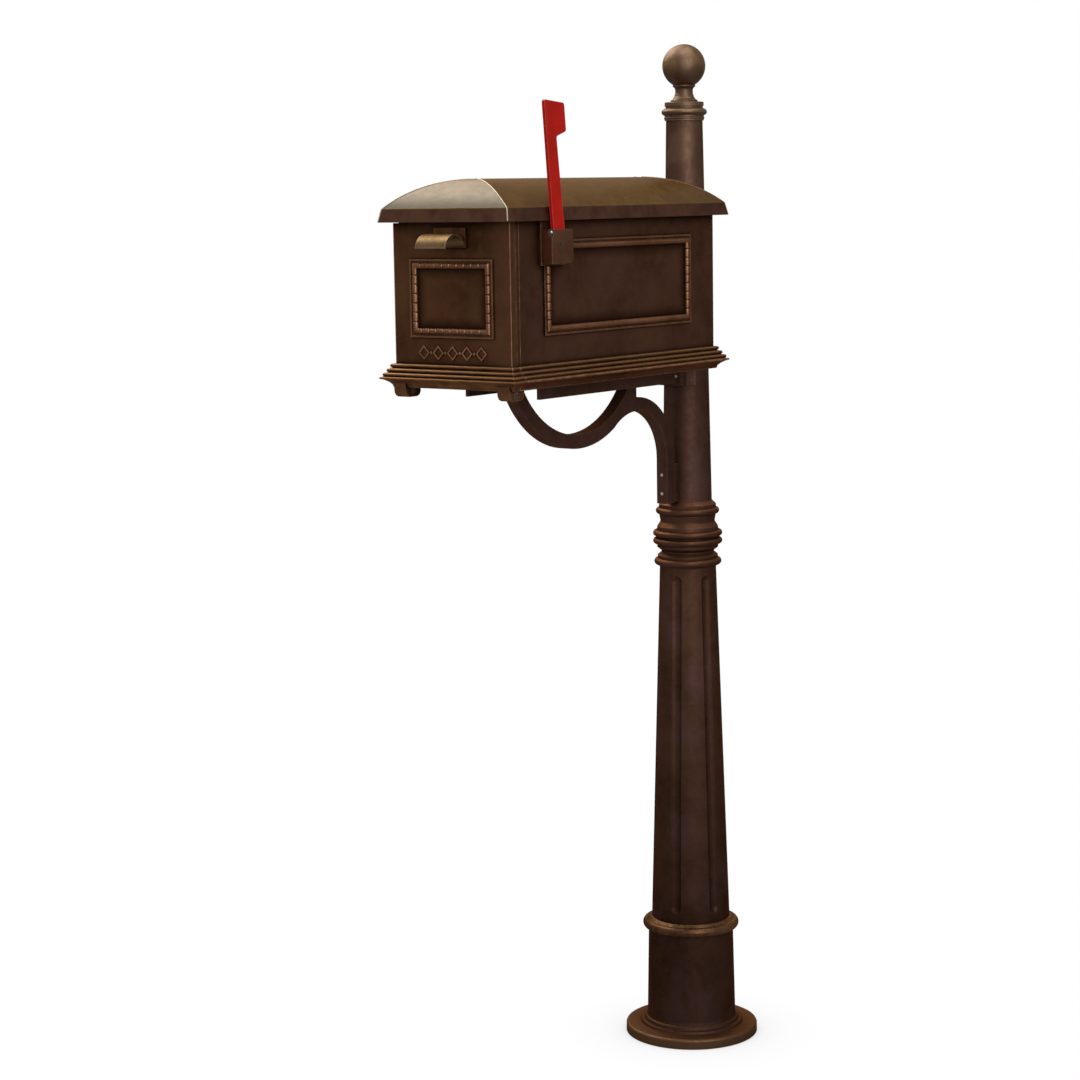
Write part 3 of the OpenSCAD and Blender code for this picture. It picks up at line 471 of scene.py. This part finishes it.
def bead_run(bm, corners, closed, to_3d, plain=()):
    """A notched half-round bead along a path of corners in a plane, mitred where it turns."""
    corners = [Vector(c) for c in corners]
    legs = list(zip(corners, corners[1:] + corners[:1])) if closed else list(zip(corners, corners[1:]))
    stations = []
    for k, (a, b) in enumerate(legs):
        along = (b - a).normalized()
        across = Vector((along.y, -along.x))
        length = (b - a).length
        count = max(1, round(length / BEAD_STEP))
        marks = sorted({0.0, length} | {
            min(max(length * i / count + d, 0.0), length)
            for i in range(count + 1) for d in NOTCH_MARKS
        })
        turns_in, turns_out = closed or k > 0, closed or k < len(legs) - 1
        for m in marks:
            near_turn = (turns_in and 0 < m < MITRE_CLEAR) or (turns_out and m > length - MITRE_CLEAR)
            if near_turn:
                continue
            side, radius = across, BEAD_R if k in plain else bead_radius(m, length)
            if m == 0.0 and turns_in:
                before = legs[k - 1]
                back = (before[1] - before[0]).normalized()
                side = across + Vector((back.y, -back.x))
                side, radius = side / side.dot(across), BEAD_R
            stations.append((a + along * m, side, radius))
    rings = []
    for centre, side, radius in stations:
        points = []
        for i in range(BEAD_SIDES):
            angle = math.pi * i / (BEAD_SIDES - 1)
            flat = centre + side * (radius * math.cos(angle))
            points.append(bm.verts.new(to_3d(flat.x, flat.y, radius * math.sin(angle))))
        for sign in (-1, 1):
            flat = centre + side * (sign * radius)
            points.append(bm.verts.new(to_3d(flat.x, flat.y, -BEAD_SINK)))
        rings.append(points)
    pairs = list(zip(rings, rings[1:] + rings[:1])) if closed else list(zip(rings, rings[1:]))
    for first, second in pairs:
        for i in range(len(first)):
            n = (i + 1) % len(first)
            bm.faces.new((first[i], first[n], second[n], second[i]))
    if not closed:
        bm.faces.new(rings[0])
        bm.faces.new(reversed(rings[-1]))


def add_beads():
    """Notched beads in the relief frames of the door and of both walls."""
    copper = MATERIALS["rubbed_copper"]
    low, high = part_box("door_bead")
    x, z0, z1, face = high[0] - BEAD_R, low[2] + BEAD_R, high[2] - BEAD_R, high[1]
    piece("bead_door", lambda bm: bead_run(
        bm, [(-x, z0), (x, z0), (x, z1), (-x, z1)], True, lambda a, b, up: (a, face - up, b)),
        copper, DOOR, "rubbed_copper", "door_bead")
    low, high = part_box("left_bead")
    y0, y1, z0, z1 = low[1] + BEAD_R, high[1] - BEAD_R, low[2] + BEAD_R, high[2] - BEAD_R
    wall = -high[0]
    around = [(y0, z0), (y1, z0), (y1, z1), (y0, z1)]
    piece("bead_left", lambda bm: bead_run(
        bm, around, True, lambda a, b, up: (-wall - up, a, b), plain=(0, 2)),
        copper, ROOT, "rubbed_copper", "left_bead")
    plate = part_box("flag_backplate")
    past_plate = [(y0, plate[0][2] - PLATE_GAP), *around[:3], (plate[1][1] + PLATE_GAP, z1)]
    piece("bead_right", lambda bm: bead_run(
        bm, past_plate, False, lambda a, b, up: (wall + up, a, b), plain=(1, 3)),
        copper, ROOT, "rubbed_copper", "right_bead")


CREASE_R = 0.0010
CREASE_IN = 0.0007
CREASE_SINK = 0.0002
CREASE_FOOT = 0.001
CREASE_STEPS, BRIM_STEPS = 24, 8


def circle(radius, limit=None, count=CIRCLE_SIDES):
    """Points on a circle, clipped to a half width."""
    limit = limit or radius
    turns = [math.tau * k / count for k in range(count)]
    return [(max(-limit, min(limit, radius * math.cos(turn))), radius * math.sin(turn)) for turn in turns]


def tube(bm, path, radius, along_z=False):
    """A closed round tube along a path that never runs straight up, unless along_z says so."""
    rings = []
    rest = Vector((0, 1, 0)) if along_z else Vector((0, 0, 1))
    for i, place in enumerate(path):
        along = (path[min(i + 1, len(path) - 1)] - path[max(i - 1, 0)]).normalized()
        side = along.cross(rest).normalized()
        up = side.cross(along)
        rings.append([bm.verts.new(place + side * a + up * b) for a, b in circle(radius, count=TUBE_SIDES)])
    for first, second in zip(rings, rings[1:]):
        for k in range(TUBE_SIDES):
            n = (k + 1) % TUBE_SIDES
            bm.faces.new((first[k], first[n], second[n], second[k]))
    bm.faces.new(rings[0])
    bm.faces.new(reversed(rings[-1]))


def add_creases():
    """The raised lines along the roof's four hips, the front pair near white as a painted highlight, and
    around the top of its fascia.
    """
    low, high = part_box("roof")
    foot = low[2] + ROOF_FASCIA
    span = high[0] - ROOF_LEAN
    side_r = (span ** 2 + ROOF_RISE ** 2) / (2 * ROOF_RISE)
    end_r = (ROOF_RUN ** 2 + ROOF_RISE ** 2) / (2 * ROOF_RISE)
    # Painted highlight: the front creases are near white, for the light caught along the front hips.
    bright = satin(bronze("front_crease_highlight", (0.60, 0.52, 0.38), (0.80, 0.72, 0.56), (0.9, 0.8, 0.65), 0.0))
    quiet = satin(bronze("back_crease", (0.20, 0.125, 0.05), (0.30, 0.19, 0.09), (0.42, 0.28, 0.15), 0.0))
    for end, name, wear_and_highlight in ((-1, "front", bright), (1, "back", quiet)):
        edge = low[1] + ROOF_LEAN if end < 0 else high[1] - ROOF_LEAN
        ridge = edge - end * ROOF_RUN
        for side, hand in ((-1, "left"), (1, "right")):
            eave = edge + end * (ROOF_LEAN - CREASE_IN)
            path = [Vector((side * (high[0] - CREASE_IN), eave, low[2] + CREASE_FOOT))]
            for k in range(CREASE_STEPS):
                fall = ROOF_RISE * (1 - k / CREASE_STEPS) ** 2
                x = math.sqrt(side_r ** 2 - (side_r - fall) ** 2)
                y = math.sqrt(end_r ** 2 - (end_r - fall) ** 2)
                path.append(Vector((side * x, ridge + end * y, foot + ROOF_RISE - fall - CREASE_SINK)))
            piece(f"roof_crease_{name}_{hand}", lambda bm: tube(bm, path, CREASE_R),
                  wear_and_highlight, ROOT, "rubbed_copper")
    x, front, back = span - CREASE_IN, low[1] + ROOF_LEAN + CREASE_IN, high[1] - ROOF_LEAN - CREASE_IN
    brim = [(-x, front), (x, front), (x, back), (-x, back)]
    for (a, b), name in zip(zip(brim, brim[1:] + brim[:1]), ("front", "right", "back", "left")):
        path = [Vector((*a, foot)).lerp(Vector((*b, foot)), k / BRIM_STEPS) for k in range(BRIM_STEPS + 1)]
        piece(f"roof_brim_{name}", lambda bm: tube(bm, path, CREASE_R), quiet, ROOT, "rubbed_copper")


# Crests and valleys of the base moulding: distance out from the wall's face and depth under the sill
MOULDING = (
    (0.0046, 0.0004), (0.0063, 0.0029), (0.0052, 0.0061), (0.0103, 0.0096),
    (0.0092, 0.0125), (0.0146, 0.0158), (0.0132, 0.0183), (0.0179, 0.0206),
)
LINE_R = 0.0006
LINE_PROUD = 0.0002
SEAM_CLEAR = 0.0008
DOOR_TOP_CLEAR = 0.002


def add_worn_lines():
    """Copper rubbed bare along the door's upright edges, its mitres and its joint with the body."""
    bare = satin(bronze("bare_copper", (0.42, 0.19, 0.105), (0.66, 0.34, 0.20), (0.80, 0.46, 0.30), 0.0))
    low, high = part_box("front_frame")
    half, sill = high[0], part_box("right_wall")[0][2]
    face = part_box("door_handle")[1][1]
    seam = low[1] - SEAM_CLEAR - LINE_R
    top = high[2] - DOOR_TOP_CLEAR
    for hand, side in (("left", -1), ("right", 1)):
        mitre = [Vector((side * (half + out), face - out, sill - down)) for out, down in MOULDING]
        joint = [Vector((side * (half + out), seam, sill - down)) for out, down in MOULDING]
        edge = [Vector((side * (half - LINE_PROUD), face + LINE_PROUD, z)) for z in (top, sill)]
        for name, path in (("mitre", mitre), ("joint", joint), ("edge", edge)):
            piece(f"door_{name}_{hand}", lambda bm: tube(bm, path, LINE_R, along_z=path is edge),
                  bare, DOOR, "rubbed_copper")


CROWN_RINGS = (0.66, 0.33)
# On the flag's housing, each as a radius and its low and high face along the way out; the hollow's disc and
# the ring round the pivot are painted shade
HOLLOW = (0.0050, -0.0039, -0.0035)
STOP = (0.0019, -0.0036, -0.0031)
PIVOT_SHADE_RING = (0.0027, -0.0002, 0.0002)
TIP = (0.0013, 0.0001, 0.0003)
HOLLOW_HALF = 0.0034
HOLLOW_DOWN = 0.005
STOP_UP = 0.0012
STOP_CROWN, TIP_CROWN = 0.0006, 0.0001


def disc(bm, outline, place, out, depth_low, depth_high, crown=0.0):
    """A closed plate from an outline, between two depths along a level direction out, with a crowned top."""
    up = Vector((0, 0, 1))
    across = up.cross(out)
    bottom = [bm.verts.new(place + across * a + up * b + out * depth_low) for a, b in outline]
    brim = [bm.verts.new(place + across * a + up * b + out * depth_high) for a, b in outline]
    bm.faces.new(list(reversed(bottom)))
    for k in range(len(outline)):
        n = (k + 1) % len(outline)
        bm.faces.new((bottom[k], bottom[n], brim[n], brim[k]))
    if not crown:
        bm.faces.new(brim)
        return
    inner = brim
    for part in CROWN_RINGS:
        rise = depth_high + crown * (1 - part ** 2)
        ring = [bm.verts.new(place + across * a * part + up * b * part + out * rise) for a, b in outline]
        for k in range(len(outline)):
            n = (k + 1) % len(outline)
            bm.faces.new((inner[k], inner[n], ring[n], ring[k]))
        inner = ring
    bm.faces.new(inner)


def add_flag_fittings():
    """A near-black disc of painted shade in the housing's hollow with its stop screw, and the dot of the
    pivot with a ring of painted shade round it, on the flag's housing.
    """
    # Painted shade: near-black discs put in the hollow and round the pivot, where shade falls.
    dark = steel("painted_hollow_shade", (0.014, 0.010, 0.008), 0.6, 0.2)
    bright = steel("small_screw", (0.75, 0.73, 0.70), 0.28)
    low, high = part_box("flag_housing")
    corner = Vector((high[0], low[1], high[2] - HOLLOW_DOWN))
    above = corner + Vector((0, 0, STOP_UP))
    slant, side = Vector((1, -1, 0)).normalized(), Vector((1, 0, 0))
    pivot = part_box("flag_pivot_screw")
    centre = Vector((high[0], (pivot[0][1] + pivot[1][1]) / 2, (pivot[0][2] + pivot[1][2]) / 2))
    piece("stop_hollow_shade", lambda bm: disc(bm, circle(HOLLOW[0], HOLLOW_HALF), corner, slant, *HOLLOW[1:]),
          dark, ROOT, "bright_steel")
    piece("stop_screw", lambda bm: disc(bm, circle(STOP[0]), above, slant, *STOP[1:], STOP_CROWN),
          bright, ROOT, "bright_steel", "flag_stop_screw")
    piece("pivot_shade_ring", lambda bm: disc(bm, circle(PIVOT_SHADE_RING[0]), centre, side, *PIVOT_SHADE_RING[1:]),
          dark, ROOT, "bright_steel")
    piece("pivot_tip", lambda bm: disc(bm, circle(TIP[0]), centre, side, *TIP[1:], TIP_CROWN),
          bright, ROOT, "bright_steel")


# ---------------------------------------------------------------- stage

def area_light(name, place, target, size, power):
    data = bpy.data.lights.new(name, "AREA")
    data.shape, data.size, data.size_y = "RECTANGLE", size[0], size[1]
    data.energy = power
    light = bpy.data.objects.new(name, data)
    bpy.context.scene.collection.objects.link(light)
    light.location = place
    light.rotation_mode = "QUATERNION"
    light.rotation_quaternion = (Vector(target) - Vector(place)).to_track_quat("-Z", "Y")


def set_stage():
    """A white floor with a painted contact shadow, and plain soft light."""
    scene = bpy.context.scene
    scene.view_settings.view_transform = "Standard"
    world = bpy.data.worlds.new("world")
    scene.world = world
    world.use_nodes = True
    nodes, links = world.node_tree.nodes, world.node_tree.links
    seen, lit = nodes["Background"], nodes.new("ShaderNodeBackground")
    for shader, colour, strength in ((seen, (1, 1, 1, 1), 1.0), (lit, (1, 0.985, 0.97, 1), 0.32)):
        shader.inputs["Color"].default_value = colour
        shader.inputs["Strength"].default_value = strength
    path, mix = nodes.new("ShaderNodeLightPath"), nodes.new("ShaderNodeMixShader")
    links.new(path.outputs["Is Camera Ray"], mix.inputs[0])
    links.new(lit.outputs[0], mix.inputs[1])
    links.new(seen.outputs[0], mix.inputs[2])
    links.new(mix.outputs[0], nodes["World Output"].inputs[0])

    bpy.ops.mesh.primitive_plane_add(size=60)
    floor = bpy.context.object
    floor.name = "floor"
    t = Tree("floor")
    # Painted shadow: the floor darkened by occlusion near the object.
    near = t.steps(t.occlusion(0.16), 0.25, 0.98, 0.62, 1.0)
    t.shader.inputs["Base Color"].default_value = (0.30, 0.29, 0.28, 1)
    t.shader.inputs["Roughness"].default_value = 0.95
    t.shader.inputs["Specular IOR Level"].default_value = 0.0
    white = t.node("ShaderNodeEmission")
    t.link(t.grey_times((1.0, 1.0, 1.0), near), white.inputs["Color"])
    path, mix = t.node("ShaderNodeLightPath"), t.node("ShaderNodeMixShader")
    t.link(path.outputs["Is Camera Ray"], mix.inputs[0])
    t.link(t.shader.outputs[0], mix.inputs[1])
    t.link(white.outputs[0], mix.inputs[2])
    t.link(mix.outputs[0], t.tree.nodes["Material Output"].inputs["Surface"])
    floor.data.materials.append(t.material)

    area_light("roof_sheen", (-2.6, 0.6, 3.9), (0, -0.5, 1.35), (3.0, 3.0), 85)
    area_light("front", (2.9, -2.3, 2.3), (0, -0.2, 1.0), (2.2, 2.8), 55)
    area_light("door", (-1.5, -3.6, 1.9), (0, -0.3, 1.1), (1.8, 2.4), 2.5)
    area_light("left", (-1.6, -0.8, 3.4), (0, 0, 1.4), (1.0, 1.2), 10)
    area_light("back", (-1.2, 3.4, 1.6), (0, 0, 0.9), (1.2, 2.0), 8)
    area_light("top", (0.6, -0.4, 4.2), (0, -0.2, 1.0), (2.6, 2.6), 50)


aim_camera()
dress_nodes()
add_beads()
add_creases()
add_worn_lines()
add_flag_fittings()
set_stage()
